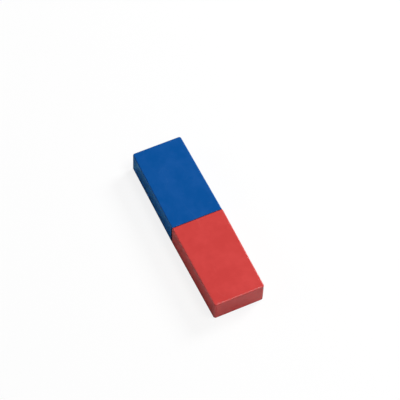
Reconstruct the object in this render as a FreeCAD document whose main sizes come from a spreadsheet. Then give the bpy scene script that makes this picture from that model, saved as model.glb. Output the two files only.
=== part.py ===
import FreeCAD, Part
import math
import os

import Sketcher
from FreeCAD import Placement, Rotation, Vector

# A bar magnet in a plastic case: a ferrite bar closed into two deep moulded halves, one blue
# and one red, whose mouths are glued together at the middle of the bar.
# The bar lies along X with the red pole at +X. It rests on Z = 0, and the origin is below its middle.

doc = FreeCAD.newDocument("bar_magnet")

# Driving dimensions, in millimetres and degrees
sizes = doc.addObject("Spreadsheet::Sheet", "sizes")
DIMENSIONS = [
    ("bar_length", 80.0, "overall, from pole face to pole face"),
    ("pole_width", 22.1, "width of the case at its pole faces"),
    ("pole_height", 10.6, "height of the case at its pole faces"),
    ("draft_angle", 0.55, "lean of the two sides and the top, which open towards the mouth"),
    ("wall", 1.6, "thickness of the four long walls"),
    ("pole_wall", 1.5, "thickness of the wall in front of each pole"),
    ("corner_radius", 1.0, "round of the upright corners at the pole faces"),
    ("edge_radius", 0.55, "round of the edges along the top and the base"),
    ("mouth_radius", 0.15, "broken outer edge of the mouth, half of the groove at the joint"),
    ("cavity_radius", 0.5, "round of the corners inside the case"),
    ("lap_length", 2.0, "how far the lip of the red half reaches into the blue half"),
    ("lap_thickness", 0.7, "thickness of that lip"),
    ("lap_gap", 0.1, "room for glue round the lip and at its end"),
    ("magnet_gap", 0.15, "room beside and above the ferrite bar at its ends"),
    ("magnet_end_gap", 0.3, "room between the ferrite bar and each pole wall"),
    ("magnet_chamfer", 0.4, "ground-off edges of the ferrite bar"),
]
for row, (alias, value, meaning) in enumerate(DIMENSIONS, 1):
    sizes.set("A%d" % row, alias)
    sizes.set("B%d" % row, str(value))
    sizes.set("C%d" % row, meaning)
    sizes.setAlias("B%d" % row, alias)
doc.recompute()

# Expressions that follow from the driving dimensions
SLOPE = "tan(sizes.draft_angle * 1 deg)"
HALF_LENGTH = "sizes.bar_length / 2"
CAVITY_END = "(%s - sizes.pole_wall)" % HALF_LENGTH

# Each cross-section is first drawn at this size, which its expressions then replace
DRAWN_SIZE = 10.0
DRAWN_RADIUS = 1.0

# How near to a plane an edge counts as lying in it
SAME_PLANE = 0.01


def case_width(along):
    """Outer width of a half at a distance from its mouth: both sides lean."""
    return "(sizes.pole_width + 2 * (%s - %s) * %s)" % (HALF_LENGTH, along, SLOPE)


def case_height(along):
    """Outer height of a half at a distance from its mouth: the base is level and the top leans."""
    return "(sizes.pole_height + (%s - %s) * %s)" % (HALF_LENGTH, along, SLOPE)


def cavity_width(along):
    return "(%s - 2 * sizes.wall)" % case_width(along)


def cavity_height(along):
    return "(%s - 2 * sizes.wall)" % case_height(along)


def new_body(label):
    body = doc.addObject("PartDesign::Body", label)
    body.Label = label
    return body


def cross_section(body, label, along, above, width, height, corner=None):
    """Rectangle across the bar, centred in Y, at a distance along X and above Z = 0.
    With a corner radius its four corners are arcs."""
    sketch = body.newObject("Sketcher::SketchObject", label)
    plane = [item for item in body.Origin.OriginFeatures if item.Role == "YZ_Plane"][0]
    sketch.AttachmentSupport = (plane, [""])
    sketch.MapMode = "FlatFace"
    sketch.setExpression(".AttachmentOffset.Base.z", along)
    sketch.setExpression(".AttachmentOffset.Base.y", above)

    half = DRAWN_SIZE
    top = DRAWN_SIZE
    radius = DRAWN_RADIUS if corner else 0.0
    points = [(-half, 0), (half, 0), (half, top), (-half, top)]
    steps = [(1, 0), (0, 1), (-1, 0), (0, -1)]
    lines = []
    arcs = []
    for index, (x, y) in enumerate(points):
        dx, dy = steps[index]
        next_x, next_y = points[(index + 1) % 4]
        start = Vector(x + dx * radius, y + dy * radius, 0)
        end = Vector(next_x - dx * radius, next_y - dy * radius, 0)
        lines.append(sketch.addGeometry(Part.LineSegment(start, end), False))
        if corner:
            centre = Vector(next_x - dx * radius - dy * radius, next_y - dy * radius + dx * radius, 0)
            quarter = math.pi / 2
            turn = (index - 1) * quarter
            circle = Part.Circle(centre, Vector(0, 0, 1), radius)
            arcs.append(sketch.addGeometry(Part.ArcOfCircle(circle, turn, turn + quarter), False))

    bottom, right, upper, left = lines
    for index in range(4):
        following = lines[(index + 1) % 4]
        if corner:
            sketch.addConstraint(Sketcher.Constraint("Tangent", lines[index], 2, arcs[index], 1))
            sketch.addConstraint(Sketcher.Constraint("Tangent", arcs[index], 2, following, 1))
        else:
            sketch.addConstraint(Sketcher.Constraint("Coincident", lines[index], 2, following, 1))
    sketch.addConstraint(Sketcher.Constraint("Vertical", right))
    sketch.addConstraint(Sketcher.Constraint("Horizontal", upper))
    sketch.addConstraint(Sketcher.Constraint("Vertical", left))
    sketch.addConstraint(Sketcher.Constraint("PointOnObject", bottom, 1, -1))
    sketch.addConstraint(Sketcher.Constraint("Symmetric", bottom, 1, bottom, 2, -2))

    def dimension(kind, name, *geometry):
        number = sketch.addConstraint(Sketcher.Constraint(kind, *geometry))
        sketch.renameConstraint(number, name)

    dimension("DistanceX", "width", left, 1, right, 1, 2 * half)
    dimension("DistanceY", "height", bottom, 1, upper, 1, top)
    sketch.setExpression("Constraints.width", width)
    sketch.setExpression("Constraints.height", height)
    if corner:
        for arc in arcs[1:]:
            sketch.addConstraint(Sketcher.Constraint("Equal", arcs[0], arc))
        dimension("Radius", "corner", arcs[0], radius)
        sketch.setExpression("Constraints.corner", corner)
    return sketch


def loft(body, kind, label, first, last):
    feature = body.newObject("PartDesign::" + kind, label)
    feature.Profile = first
    feature.Sections = [last]
    feature.Ruled = True
    doc.recompute()
    return feature


def round_edges(body, label, base, edges, radius):
    """Fillet the edges of the base feature that are in the list."""
    names = []
    for number, edge in enumerate(base.Shape.Edges, 1):
        if any(edge.isSame(wanted) for wanted in edges):
            names.append("Edge%d" % number)
    feature = body.newObject("PartDesign::Fillet", label)
    feature.Base = (base, names)
    feature.setExpression("Radius", radius)
    doc.recompute()
    return feature


def edges_across(shape, along):
    """Edges that lie wholly in the plane at this distance along X."""
    found = []
    for edge in shape.Edges:
        box = edge.BoundBox
        if abs(box.XMin - along) + abs(box.XMax - along) < SAME_PLANE:
            found.append(edge)
    return found


def edges_round_face(shape, up):
    """Edges of the face that covers most seen from above (1) or below (-1), but not at the mouth."""
    face = max(shape.Faces, key=lambda side: side.normalAt(0, 0).z * up * side.Area)
    mouth = edges_across(shape, 0)
    return [edge for edge in face.Edges if not any(edge.isSame(e) for e in mouth)]


# Case halves. Each is a deep cup, drafted so that it left its mould pole first, with its mouth
# at the middle of the bar. The red half has a thin lip round its mouth that the blue one takes in.

def case_half(label):
    """Closed outer form of a half, with its mouth at X = 0 and its pole face towards +X."""
    body = new_body(label)
    form = body.newObject("PartDesign::AdditiveWedge", label + "_walls")
    form.Placement = Placement(Vector(0, 0, 0), Rotation(Vector(0, 0, 1), -90))
    for name, expression in [
        ("Ymin", "0"), ("Ymax", HALF_LENGTH),
        ("Xmin", "-%s / 2" % case_width("0")), ("Xmax", "%s / 2" % case_width("0")),
        ("Zmin", "0"), ("Zmax", case_height("0")),
        ("X2min", "-sizes.pole_width / 2"), ("X2max", "sizes.pole_width / 2"),
        ("Z2min", "0"), ("Z2max", "sizes.pole_height"),
    ]:
        form.setExpression(name, expression)
    doc.recompute()

    pole_face = edges_across(form.Shape, sizes.bar_length / 2)
    upright = [edge for edge in pole_face if edge.BoundBox.ZLength > edge.BoundBox.YLength]
    form = round_edges(body, label + "_corners", form, upright, "sizes.corner_radius")
    rims = edges_round_face(form.Shape, 1) + edges_round_face(form.Shape, -1)
    form = round_edges(body, label + "_edges", form, rims, "sizes.edge_radius")
    round_edges(body, label + "_mouth_edge", form, edges_across(form.Shape, 0), "sizes.mouth_radius")
    return body


def hollow(body, start):
    """Cut the cavity for the ferrite bar, from a distance along X to the pole wall."""
    label = body.Label
    near = cross_section(body, label + "_cavity_mouth", start, "sizes.wall",
                         cavity_width(start), cavity_height(start), "sizes.cavity_radius")
    far = cross_section(body, label + "_cavity_end", CAVITY_END, "sizes.wall",
                        cavity_width(CAVITY_END), cavity_height(CAVITY_END), "sizes.cavity_radius")
    loft(body, "SubtractiveLoft", label + "_cavity", near, far)


def lap_section(body, label, thickness):
    """Outline of the lip, or of the seat for it, round the cavity at the mouth."""
    return cross_section(body, label, "0", "sizes.wall - " + thickness,
                         "%s + 2 * %s" % (cavity_width("0"), thickness),
                         "%s + 2 * %s" % (cavity_height("0"), thickness),
                         "sizes.cavity_radius + " + thickness)


red_half = case_half("red_case_half")
lip = red_half.newObject("PartDesign::Pad", "lip")
lip.Profile = lap_section(red_half, "lip_outline", "sizes.lap_thickness")
lip.Reversed = True
lip.setExpression("Length", "sizes.lap_length")
hollow(red_half, "(-sizes.lap_length)")

blue_half = case_half("blue_case_half")
hollow(blue_half, "0")
seat = blue_half.newObject("PartDesign::Pocket", "lip_seat")
seat.Profile = lap_section(blue_half, "lip_seat_outline", "(sizes.lap_thickness + sizes.lap_gap)")
seat.Reversed = True
seat.setExpression("Length", "sizes.lap_length + sizes.lap_gap")
blue_half.Placement = Placement(Vector(0, 0, 0), Rotation(Vector(0, 0, 1), 180))

# Ferrite bar, magnetised along its length. It lies on the floor of both halves and is centred
# by the narrow ends of their cavities.

magnet = new_body("ferrite_magnet")
START = "(-%s + sizes.magnet_end_gap)" % CAVITY_END
magnet_end = cross_section(magnet, "magnet_end", START, "sizes.wall",
                           "%s - 2 * sizes.magnet_gap" % cavity_width(CAVITY_END),
                           "%s - sizes.magnet_gap" % cavity_height(CAVITY_END))
block = magnet.newObject("PartDesign::Pad", "pressed_block")
block.Profile = magnet_end
block.setExpression("Length", "-2 * " + START)
doc.recompute()
ground = magnet.newObject("PartDesign::Chamfer", "ground_edges")
ground.Base = (block, ["Edge%d" % (number + 1) for number in range(len(block.Shape.Edges))])
ground.setExpression("Size", "sizes.magnet_chamfer")

doc.recompute()

for item in doc.Objects:
    failed = [state for state in item.State if state in ("Invalid", "Error")]
    if failed:
        raise RuntimeError("%s did not build: %s" % (item.Label, failed))

pieces = [red_half, blue_half, magnet]
for piece in pieces:
    if piece.Shape.isNull() or not piece.Shape.isValid() or len(piece.Shape.Solids) != 1:
        raise RuntimeError("%s is not one sound solid" % piece.Label)

os.makedirs("parts", exist_ok=True)
for piece in pieces:
    piece.Shape.exportStep("parts/%s.step" % piece.Label)
    box = piece.Shape.BoundBox
    ends = (box.XMin, box.XMax, box.YMin, box.YMax, box.ZMin, box.ZMax)
    print("%s: %.0f mm3" % (piece.Label, piece.Shape.Volume))
    print("    X %.2f to %.2f, Y %.2f to %.2f, Z %.2f to %.2f" % ends)
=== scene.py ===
import math

import bmesh
import bpy
from mathutils import Matrix, Vector


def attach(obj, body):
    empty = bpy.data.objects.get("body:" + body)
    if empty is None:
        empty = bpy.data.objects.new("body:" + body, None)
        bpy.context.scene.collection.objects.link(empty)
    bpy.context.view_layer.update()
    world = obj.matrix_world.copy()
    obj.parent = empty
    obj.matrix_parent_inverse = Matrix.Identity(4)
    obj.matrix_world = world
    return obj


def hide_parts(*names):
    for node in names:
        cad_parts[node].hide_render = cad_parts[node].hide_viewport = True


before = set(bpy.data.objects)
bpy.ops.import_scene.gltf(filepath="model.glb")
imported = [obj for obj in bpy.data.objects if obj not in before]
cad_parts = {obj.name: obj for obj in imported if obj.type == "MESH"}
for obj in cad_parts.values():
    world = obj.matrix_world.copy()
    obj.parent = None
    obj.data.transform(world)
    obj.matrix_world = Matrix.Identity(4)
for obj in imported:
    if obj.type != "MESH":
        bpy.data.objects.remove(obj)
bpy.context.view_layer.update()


# Ferrite bar: one block pressed from ferrite powder, sintered and ground on all faces, and
# magnetised along its length. It lies sealed in the case, in the shape that the model gives it.

MM = 0.001


class Signal:
    """A number that changes over a surface. Arithmetic on it adds the Math nodes for it."""

    def __init__(self, socket):
        self.socket = socket

    def math(self, operation, *terms):
        node = self.socket.id_data.nodes.new("ShaderNodeMath")
        node.operation = operation
        for entry, term in zip(node.inputs, terms):
            feed(entry, term)
        return Signal(node.outputs[0])

    def __add__(self, other):
        return self.math("ADD", self, other)

    def __radd__(self, other):
        return self.math("ADD", other, self)

    def __sub__(self, other):
        return self.math("SUBTRACT", self, other)

    def __rsub__(self, other):
        return self.math("SUBTRACT", other, self)

    def __mul__(self, other):
        return self.math("MULTIPLY", self, other)

    def __rmul__(self, other):
        return self.math("MULTIPLY", other, self)

    def __abs__(self):
        return self.math("ABSOLUTE", self)

    def lesser(self, other):
        return self.math("MINIMUM", self, other)

    def greater(self, other):
        return self.math("MAXIMUM", self, other)

    def band(self, start, end):
        """0 where the signal is at start or before it, 1 at end or beyond, even between them."""
        ramp = (self - start) * (1 / (end - start))
        return ramp.greater(0).lesser(1)


def feed(entry, value):
    """Give a node's input a link from a signal, or a constant."""
    if isinstance(value, Signal):
        entry.id_data.links.new(value.socket, entry)
    else:
        entry.default_value = value


class Finish:
    """A material: node() adds any node with its settings first, then the inputs."""

    def __init__(self, name):
        self.material = bpy.data.materials.new(name)
        self.material.use_nodes = True
        self.tree = self.material.node_tree
        self.shader = self.tree.nodes["Principled BSDF"]

    def node(self, kind, settings=(), inputs=(), output=0):
        node = self.tree.nodes.new(kind)
        for name, value in dict(settings).items():
            setattr(node, name, value)
        for name, value in dict(inputs).items():
            entries = [entry for entry in node.inputs if name in (entry.identifier, entry.name)]
            feed(next(entry for entry in entries if entry.enabled), value)
        return Signal(node.outputs[output])

    def noise(self, place, per_metre, detail):
        return self.node("ShaderNodeTexNoise", {}, {
            "Vector": place, "Scale": per_metre, "Detail": detail, "Roughness": 0.5}, "Fac")

    def mix(self, factor, first, second):
        """Colour between two colours."""
        return self.node("ShaderNodeMix", {"data_type": "RGBA"}, {
            "Factor": factor, "A_Color": first, "B_Color": second}, 2)

    def set(self, inputs):
        for name, value in inputs.items():
            feed(self.shader.inputs[name], value)


def sintered_ferrite():
    """Dull charcoal ceramic: a fine grain, faint stains, and grinding marks along the bar."""
    dark_grey = (0.030, 0.030, 0.033, 1)
    light_grey = (0.062, 0.062, 0.064, 1)
    finish = Finish("sintered_ferrite")
    place = finish.node("ShaderNodeTexCoord", output="Object")
    grain = finish.noise(place, per_metre=9000, detail=3)
    stain = finish.noise(place, per_metre=260, detail=3)
    drawn_out = finish.node("ShaderNodeMapping", {}, {"Vector": place, "Scale": (30, 4000, 4000)})
    grinding = finish.noise(drawn_out, per_metre=1, detail=2)
    tone = (grain * 0.4 + stain * 0.4 + grinding * 0.2).band(0.3, 0.7)
    relief = finish.node("ShaderNodeBump", {}, {
        "Height": grain * 0.5 + grinding * 0.5, "Strength": 0.6, "Distance": 0.02 * MM})
    finish.set({
        "Base Color": finish.mix(tone, dark_grey, light_grey),
        "Roughness": 0.62 + grinding * 0.15,
        "Normal": relief})
    return finish.material


ferrite_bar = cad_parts["ferrite_magnet"]
ferrite_bar.data.materials[0] = sintered_ferrite()


# Blue half of the case: a deep cup injection-moulded in styrene. Its walls lean a little so
# that it leaves the mould, and a seat inside its mouth takes in the lip of the red half. On one
# side its mouth falls a little short of full width, which leaves a small step at the joint.

HALF_LENGTH = 40 * MM
POLE_WIDTH = 22.1 * MM
POLE_HEIGHT = 10.6 * MM
LEAN = math.tan(math.radians(0.55))
MOUTH_WIDTH = POLE_WIDTH + 2 * HALF_LENGTH * LEAN
MOUTH_HEIGHT = POLE_HEIGHT + HALF_LENGTH * LEAN
WALL = 1.6 * MM
POLE_WALL = 1.5 * MM
CAVITY_END = HALF_LENGTH - POLE_WALL
LAP_LENGTH = 2.0 * MM
LAP_THICKNESS = 0.7 * MM
LAP_GAP = 0.1 * MM
SIDE_STEP = 0.2 * MM
CORNER_RADIUS = 1.0 * MM
EDGE_RADIUS = 0.55 * MM
MOUTH_RADIUS = 0.15 * MM
CAVITY_RADIUS = 0.5 * MM
CORNER_STEPS = 8
EDGE_STEPS = 6
MOUTH_STEPS = 3
SAME_PLANE = 0.01 * MM
SAME_POINT = 0.001 * MM
SHARP_ANGLE = math.radians(40)
GROOVE_WIDTH = 0.25 * MM
# Colour of the painted shade in the groove at the joint and in a band beside it down the sides.
PAINTED_SHADE = (0.010, 0.008, 0.007, 1)


def add_block(mesh, start, end, near_size, far_size, floor):
    """Box along X from start to end, with a width and height for each end, and a level floor."""
    block = bmesh.ops.create_cube(mesh, size=1)["verts"]
    bmesh.ops.translate(mesh, vec=(0.5, 0, 0.5), verts=block)
    bmesh.ops.scale(mesh, vec=(end - start, *near_size), verts=block)
    far_end = [vert for vert in block if vert.co.x > (end - start) / 2]
    taper = [far / near for far, near in zip(far_size, near_size)]
    bmesh.ops.scale(mesh, vec=(1, *taper), verts=far_end)
    bmesh.ops.translate(mesh, vec=(start, 0, floor), verts=block)
    return block


def edges_of(verts):
    return list({edge for vert in verts for edge in vert.link_edges})


def faces_of(verts):
    return list({face for vert in verts for face in vert.link_faces})


def reach(edge, axis):
    """How far an edge reaches along X, Y or Z, which are axis 0, 1 and 2."""
    first, second = edge.verts
    return abs(first.co[axis] - second.co[axis])


def round_off(mesh, edges, radius, steps):
    bmesh.ops.bevel(mesh, geom=edges, offset=radius, offset_type="OFFSET", affect="EDGES",
                    segments=steps, profile=0.5, material=-1, clamp_overlap=True)


def at_x(items, x):
    """Those vertices, edges or faces that lie wholly at this distance along X."""
    def verts_of(item):
        return [item] if isinstance(item, bmesh.types.BMVert) else item.verts
    return [item for item in items if all(abs(vert.co.x - x) < SAME_PLANE for vert in verts_of(item))]


def is_level(face):
    """Whether a face looks nearly straight up or down."""
    return abs(face.normal.z) > 0.9


def outside_size(x):
    """Width and height of a half at this distance from the joint. Both sides and the top lean."""
    return (MOUTH_WIDTH - 2 * x * LEAN, MOUTH_HEIGHT - x * LEAN)


def inset(size, depth):
    """A width and height taken in by the same depth on every side."""
    return [side - 2 * depth for side in size]


def add_outside(mesh, mouth, side_step):
    """Outer faces from the mouth to the pole. Gives the loop of edges round the open mouth."""
    outside = add_block(mesh, mouth, HALF_LENGTH, outside_size(mouth), (POLE_WIDTH, POLE_HEIGHT), 0)
    short_side = [vert for vert in at_x(outside, mouth) if vert.co.y < 0]
    bmesh.ops.translate(mesh, vec=(0, side_step, 0), verts=short_side)
    pole_edges = at_x(edges_of(outside), HALF_LENGTH)
    upright = [edge for edge in pole_edges if reach(edge, 2) > POLE_HEIGHT / 2]
    round_off(mesh, upright, CORNER_RADIUS, CORNER_STEPS)
    mesh.normal_update()
    rims = [edge for face in mesh.faces if is_level(face) for edge in face.edges]
    rims = [edge for edge in rims if edge not in at_x(rims, mouth)]
    round_off(mesh, rims, EDGE_RADIUS, EDGE_STEPS)
    opening = at_x(mesh.faces, mouth)
    round_off(mesh, [edge for face in opening for edge in face.edges], MOUTH_RADIUS, MOUTH_STEPS)
    opening = max(at_x(mesh.faces, mouth), key=lambda face: face.calc_area())
    loop = list(opening.edges)
    bmesh.ops.delete(mesh, geom=[opening], context="FACES_ONLY")
    return loop


def add_lining(mesh, start, end, near_size, far_size, floor, radius, open_ends):
    """Walls of a rounded rectangular hole or lip. Gives the loop of edges left at each open end."""
    before = set(mesh.verts)
    block = add_block(mesh, start, end, near_size, far_size, floor)
    long_edges = [edge for edge in edges_of(block) if reach(edge, 0) > (end - start) / 2]
    round_off(mesh, long_edges, radius, EDGE_STEPS)
    block = [vert for vert in mesh.verts if vert not in before]
    faces = faces_of(block)
    caps = [face for x in open_ends for face in at_x(faces, x)]
    loops = [list(face.edges) for face in caps]
    bmesh.ops.delete(mesh, geom=caps, context="FACES_ONLY")
    return loops


def mould_half(lap_end, lap_thickness, side_step=0, groove_width=0, groove_depth=0):
    """One half with its mouth in the middle and its pole towards +X. The lap at the mouth is a
    lip where it ends at -X, and a seat where it ends at +X. With a side step the mouth falls
    short of full width on its -Y side. A groove can run round the outside of the mouth."""
    mesh = bmesh.new()
    loops = [add_outside(mesh, groove_width, side_step)]
    if groove_width:
        collar = inset(outside_size(groove_width), groove_depth)
        loops += add_lining(mesh, 0, groove_width, collar, collar, groove_depth, CAVITY_RADIUS,
                            (groove_width, 0))
    lap_depth = WALL - lap_thickness
    lap = inset(outside_size(0), lap_depth)
    loops += add_lining(mesh, *sorted((0, lap_end)), lap, lap, lap_depth,
                        CAVITY_RADIUS + lap_thickness, (0, lap_end))
    cavity_sizes = [inset(outside_size(x), WALL) for x in (lap_end, CAVITY_END)]
    loops += add_lining(mesh, lap_end, CAVITY_END, *cavity_sizes, WALL, CAVITY_RADIUS, [lap_end])
    # Each pair of loops is the outer and the inner edge of one flat ring
    for outer, inner in zip(loops[0::2], loops[1::2]):
        bmesh.ops.triangle_fill(mesh, edges=outer + inner, use_beauty=True, normal=(-1, 0, 0))
    bmesh.ops.remove_doubles(mesh, verts=mesh.verts, dist=SAME_POINT)
    bmesh.ops.recalc_face_normals(mesh, faces=mesh.faces)
    return mesh


def finish_piece(name, mesh, material):
    """Turn a mesh into a smooth piece that rides on the bar, sharp only where faces meet steeply."""
    data = bpy.data.meshes.new(name)
    mesh.to_mesh(data)
    mesh.free()
    for face in data.polygons:
        face.use_smooth = True
    data.set_sharp_from_angle(angle=SHARP_ANGLE)
    piece = bpy.data.objects.new(name, data)
    bpy.context.collection.objects.link(piece)
    shading = piece.modifiers.new("flat_faces_stay_flat", "WEIGHTED_NORMAL")
    shading.keep_sharp = True
    data.materials.append(material)
    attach(piece, "root")
    return piece


def moulded_styrene(name, colour, rubbed):
    """Semi-gloss plastic that has been handled: cloudy patches where it is rubbed, hairline
    scratches, small nicks, and rounded edges that hands have polished and the table has worn.
    Painted shade darkens the groove at the joint, and a band beside it down the sides."""
    finish = Finish(name)
    place = finish.node("ShaderNodeTexCoord", output="Object")
    x, y, z = [finish.node("ShaderNodeSeparateXYZ", {}, {"Vector": place}, axis) for axis in "XYZ"]

    to_pole = HALF_LENGTH - abs(x)
    to_side = POLE_WIDTH / 2 + to_pole * LEAN - abs(y)
    to_top = POLE_HEIGHT + to_pole * LEAN - z
    to_top_or_base = z.lesser(to_top)
    # The nearest edge is as far away as the second nearest of the three kinds of face
    nearer = to_side.lesser(to_top_or_base)
    farther = to_side.greater(to_top_or_base)
    edge_distance = nearer.greater(farther.lesser(to_pole))
    polished = 1 - edge_distance.band(0.4 * MM, 0.6 * MM)
    bruised = 1 - edge_distance.band(0.05 * MM, 0.45 * MM)
    underside = 1 - z.band(0.02 * MM, 0.3 * MM)

    # Painted shade: the groove at the joint, and a band beside it down the sides below the top, are
    # made dark and matte.
    below_top = to_top.band(0.1 * MM, 0.6 * MM)
    from_groove = abs(x + 0.2 * MM)
    beside_groove = (1 - from_groove.band(0.25 * MM, 0.55 * MM)) * below_top
    from_groove_middle = abs(x - GROOVE_WIDTH / 2)
    in_groove = 1 - from_groove_middle.band(0.45 * GROOVE_WIDTH, 0.5 * GROOVE_WIDTH)
    joint_shade = beside_groove.greater(in_groove)

    cloud = finish.noise(place, per_metre=95, detail=3)
    patch = finish.noise(place, per_metre=330, detail=3)
    fine = finish.noise(place, per_metre=2600, detail=2)
    rub = (cloud * 0.6 + patch * 0.4).band(0.42, 0.64)

    def hairlines(turn, per_metre):
        """Thin broken lines in one direction, where a drawn-out noise crosses its middle value."""
        turned = finish.node("ShaderNodeMapping", {}, {
            "Vector": place, "Rotation": (0, 0, math.radians(turn)), "Scale": (0.25, 1, 1)})
        line = finish.noise(turned, per_metre, detail=1)
        broken = finish.noise(turned, 2.3 * per_metre, detail=2).band(0.5, 0.62)
        return (1 - abs(line - 0.5) * 260).greater(0) * broken

    scratches = hairlines(24, 150).greater(hairlines(-58, 170)).greater(hairlines(-12, 90))
    from_speck = finish.node("ShaderNodeTexVoronoi", {"feature": "F1"}, {
        "Vector": place, "Scale": 300, "Randomness": 1.0}, "Distance")
    nicks = (1 - from_speck.band(0.02, 0.05)) * patch.band(0.52, 0.6)
    scuffs = (scratches * (0.35 + underside * 0.4) + nicks * 0.5).lesser(1)
    worn = (bruised * fine.band(0.5, 0.62) * 0.4 + scuffs).lesser(1)

    deep = [0.93 * part for part in colour] + [1]
    dusty = [part + 0.003 for part in colour] + [1]
    worn_colour = finish.mix(worn * 0.35, finish.mix(rub, deep, dusty), [*rubbed, 1])
    relief = finish.node("ShaderNodeBump", {}, {
        "Height": (fine * 0.06 - scratches * 0.5 - nicks) * (1 - polished) + cloud * 0.6,
        "Strength": 0.5, "Distance": 0.03 * MM})
    finish.set({
        "Base Color": finish.mix(joint_shade * 0.95, worn_colour, PAINTED_SHADE),
        "Roughness": 0.28 + rub * 0.08 + scuffs * 0.15 + underside * 0.12 + joint_shade * 0.5,
        "Specular IOR Level": 0.18,
        "Coat Weight": polished * (1 - joint_shade) * 0.35,
        "Coat Roughness": 0.16,
        "Normal": relief})
    return finish.material


blue_styrene = moulded_styrene("blue_styrene", colour=(0.002, 0.082, 0.326), rubbed=(0.05, 0.16, 0.42))
blue_mesh = mould_half(LAP_LENGTH + LAP_GAP, LAP_THICKNESS + LAP_GAP, side_step=SIDE_STEP)
half_turn = Matrix.Rotation(math.pi, 3, "Z")
bmesh.ops.rotate(blue_mesh, cent=(0, 0, 0), matrix=half_turn, verts=blue_mesh.verts)
blue_half = finish_piece("blue_half", blue_mesh, blue_styrene)
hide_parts("blue_case_half")


# Red half of the case: the same cup in red, with a thin lip round its mouth that is glued into
# the blue half. The two rims butt, and a fine groove is cut round the outside of the red one.

GROOVE_DEPTH = 0.35 * MM

red_styrene = moulded_styrene("red_styrene", colour=(0.615, 0.055, 0.051), rubbed=(0.68, 0.15, 0.13))
red_mesh = mould_half(-LAP_LENGTH, LAP_THICKNESS, groove_width=GROOVE_WIDTH, groove_depth=GROOVE_DEPTH)
red_half = finish_piece("red_half", red_mesh, red_styrene)
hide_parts("red_case_half")


# Table: a sheet of white paper, much larger than the view. Seen direct it is white with a light
# shadow. What the plastic mirrors of it near the bar keeps the shadow's full depth, and is a painted
# reflection: painted a cool green-blue, and painted darker past the blue end.

PAPER_RADIUS = 3
PAPER_TOP = -0.05 * MM
WHITE = (0.9, 0.9, 0.9, 1)
COOL = (0.27, 0.69, 0.67, 1)
DEEP_COOL = (0.08, 0.21, 0.20, 1)
LIFT = 0.85

sheet = bmesh.new()
bmesh.ops.create_circle(sheet, cap_ends=True, radius=PAPER_RADIUS, segments=96)
bmesh.ops.translate(sheet, vec=(0, 0, PAPER_TOP), verts=sheet.verts)
sheet_data = bpy.data.meshes.new("paper")
sheet.to_mesh(sheet_data)
sheet.free()
paper = bpy.data.objects.new("paper", sheet_data)
bpy.context.collection.objects.link(paper)

paper_finish = Finish("white_paper")
spot = paper_finish.node("ShaderNodeTexCoord", output="Object")
along_bar = paper_finish.node("ShaderNodeSeparateXYZ", {}, {"Vector": spot}, "X")
# Painted reflection: past the blue end the paper, as the plastic mirrors it, is painted darker.
past_blue_end = 1 - along_bar.band(-42 * MM, -39.5 * MM)
from_bar = paper_finish.node("ShaderNodeVectorMath", {"operation": "LENGTH"}, {"Vector": spot}, "Value")
away = from_bar.band(60 * MM, 150 * MM)
seen = paper_finish.node("ShaderNodeLightPath", output="Is Camera Ray")
glossy = paper_finish.node("ShaderNodeLightPath", output="Is Glossy Ray")
refracted = paper_finish.node("ShaderNodeLightPath", output="Is Transmission Ray")
mirrored = glossy.greater(refracted)
mirrored_tone = paper_finish.mix(past_blue_end, COOL, DEEP_COOL)
paper_finish.set({
    "Base Color": paper_finish.mix(mirrored, WHITE, mirrored_tone),
    "Roughness": 0.9,
    "Specular IOR Level": 0.1})
plain_white = paper_finish.node("ShaderNodeEmission", {}, {"Color": (1, 1, 1, 1), "Strength": 1.0})
lifted = paper_finish.node("ShaderNodeMixShader", {}, {
    "Fac": (seen * LIFT).greater(mirrored * LIFT * away),
    "Shader": Signal(paper_finish.shader.outputs[0]),
    "Shader_001": plain_white})
feed(paper_finish.tree.nodes["Material Output"].inputs["Surface"], lifted)
sheet_data.materials.append(paper_finish.material)


# Studio light: four broad soft lamps on stands above the table, each turned to the bar, in a
# room that adds hardly any light of its own.

LAMP_DISTANCE = 1.2
LAMP_SIDE = 0.4
ROOM_LIGHT = 0.03


def direction(azimuth, elevation):
    """Unit vector for angles in degrees, the azimuth counted from +X towards +Y."""
    level = math.cos(math.radians(elevation))
    return Vector((level * math.cos(math.radians(azimuth)), level * math.sin(math.radians(azimuth)),
                   math.sin(math.radians(elevation))))


def softbox(name, azimuth, elevation, watts):
    """Square lamp that faces the bar from this direction."""
    lamp = bpy.data.lights.new(name, "AREA")
    lamp.shape = "SQUARE"
    lamp.size = LAMP_SIDE
    lamp.energy = watts
    towards = direction(azimuth, elevation)
    stand = bpy.data.objects.new(name, lamp)
    stand.location = towards * LAMP_DISTANCE
    stand.rotation_euler = towards.to_track_quat("Z", "Y").to_euler()
    bpy.context.collection.objects.link(stand)


softbox("key", azimuth=107, elevation=36, watts=12.8)
softbox("overhead", azimuth=50, elevation=66, watts=6.4)
softbox("front_fill", azimuth=17, elevation=50, watts=1.5)
softbox("left_fill", azimuth=250, elevation=30, watts=1.9)

world = bpy.data.worlds.new("room")
world.use_nodes = True
room = world.node_tree.nodes["Background"].inputs
room["Color"].default_value = (1, 1, 1, 1)
room["Strength"].default_value = ROOM_LIGHT
scene = bpy.context.scene
scene.world = world
scene.view_settings.view_transform = "Standard"


# Camera: a long lens well above the table, looking down past the red pole at the -Y side. The
# angles are in degrees, and the lens and sensor in millimetres.

SENSOR_WIDTH = 36
LENS = 182.8
PLACE = (0.3918, -0.2037, 0.7129)
HEADING = 152.43
LOOK_DOWN = 57.31
ROLL = 2.71

camera_data = bpy.data.cameras.new("camera")
camera_data.sensor_width = SENSOR_WIDTH
camera_data.lens = LENS
camera = bpy.data.objects.new("camera", camera_data)
bpy.context.collection.objects.link(camera)
look = direction(HEADING, -LOOK_DOWN)
level_right = direction(HEADING - 90, 0)
right = Matrix.Rotation(-math.radians(ROLL), 3, look) @ level_right
upward = right.cross(look)
turn = Matrix((right, upward, -look)).transposed().to_4x4()
camera.matrix_world = Matrix.Translation(PLACE) @ turn
scene.camera = camera
